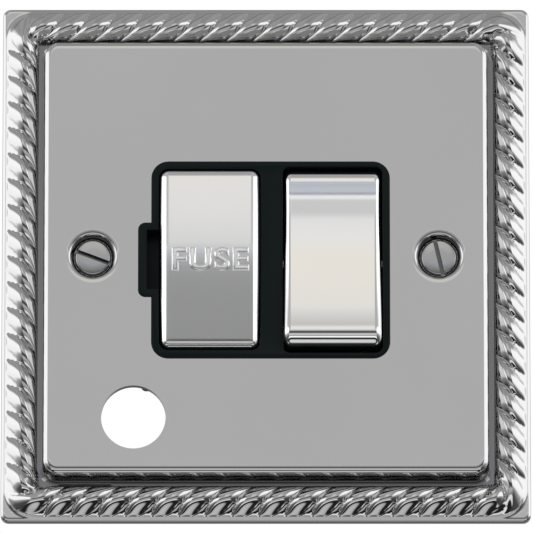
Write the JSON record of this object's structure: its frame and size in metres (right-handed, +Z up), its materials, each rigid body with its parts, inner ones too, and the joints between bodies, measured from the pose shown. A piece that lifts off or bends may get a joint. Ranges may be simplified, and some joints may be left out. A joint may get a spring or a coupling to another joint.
{
  "type": "fused spur unit",
  "caption": "Square polished wall plate with a rope border, a pull-out fuse drawer, a rocker switch, a flex outlet and screw terminals behind.",
  "frame": {"origin": "on the wall plane that the plate is pressed against, midway between the two fixing screws", "axes": "+X to the right seen from the front, +Z up, +Y into the wall, along the fixing screws"},
  "size_m": [0.0922, 0.03, 0.0922],
  "materials": {
    "polished_chrome": "polished",
    "black_plastic": "smooth",
    "housing_plastic": "fine matt",
    "carrier_plastic": "fine matt",
    "ceramic": "glazed",
    "silver": "satin",
    "nickel_plate": "satin",
    "brass": "satin",
    "zinc_steel": "zinc plated"
  },
  "bodies": {
    "housing": {"cord_clamp_bar": "housing_plastic", "cord_clamp_screw_1": "zinc_steel", "cord_clamp_screw_2": "zinc_steel", "earth_clamp_screw_1": "brass", "earth_clamp_screw_2": "brass", "earth_strap": "brass", "earth_strap_screw": "zinc_steel", "earth_terminal": "brass", "fixed_contact_live": "silver", "fixed_contact_neutral": "silver", "fixing_screw_left": "polished_chrome", "fixing_screw_right": "polished_chrome", "front_moulding": "black_plastic", "front_plate": "polished_chrome", "fuse_jaw_lower": "brass", "fuse_jaw_upper": "brass", "housing_screw_bottom": "zinc_steel", "housing_screw_top": "zinc_steel", "live_link": "brass", "live_load_clamp_screw": "brass", "live_load_terminal": "brass", "live_supply_clamp_screw": "brass", "live_supply_terminal": "brass", "module_screw_bottom_right": "zinc_steel", "module_screw_top_left": "zinc_steel", "neutral_load_clamp_screw": "brass", "neutral_load_strip": "brass", "neutral_load_terminal": "brass", "neutral_supply_clamp_screw": "brass", "neutral_supply_terminal": "brass", "rear_housing": "housing_plastic", "rocker_pivot": "zinc_steel", "supply_bracket_live": "brass", "supply_bracket_neutral": "brass"},
    "rocker": {"rocker_cap": "polished_chrome", "rocker_body": "carrier_plastic", "plunger_live": "carrier_plastic", "plunger_neutral": "carrier_plastic", "plunger_spring_live": "zinc_steel", "plunger_spring_neutral": "zinc_steel"},
    "contact_arm_live": {"contact_arm_live": "brass", "moving_contact_live": "silver"},
    "contact_arm_neutral": {"contact_arm_neutral": "brass", "moving_contact_neutral": "silver"},
    "fuse_drawer": {"fuse_carrier": "carrier_plastic", "fuse_carrier_cap": "polished_chrome", "fuse_body": "ceramic", "fuse_end_cap_upper": "nickel_plate", "fuse_end_cap_lower": "nickel_plate"}
  },
  "joints": [
    {"name": "rocker_tilt", "type": "hinge", "parent": "housing", "child": "rocker", "pos_m": [0.01164, -0.0044, -0.0007], "axis": [1, 0, 0], "range_deg": [0, 12]},
    {"name": "contact_arm_live_tilt", "type": "hinge", "parent": "housing", "child": "contact_arm_live", "pos_m": [0.00744, 0.007, -0.0007], "axis": [1, 0, 0], "range_deg": [-10, 0]},
    {"name": "contact_arm_neutral_tilt", "type": "hinge", "parent": "housing", "child": "contact_arm_neutral", "pos_m": [0.01584, 0.007, -0.0007], "axis": [1, 0, 0], "range_deg": [-10, 0]},
    {"name": "fuse_drawer_slide", "type": "slide", "parent": "housing", "child": "fuse_drawer", "axis": [0, -1, 0], "range_m": [0, 0.01315]}
  ],
  "couplings": [
    {"joint": "contact_arm_live_tilt", "follows": "rocker_tilt", "ratio": -0.8333},
    {"joint": "contact_arm_neutral_tilt", "follows": "rocker_tilt", "ratio": -0.8333}
  ]
}
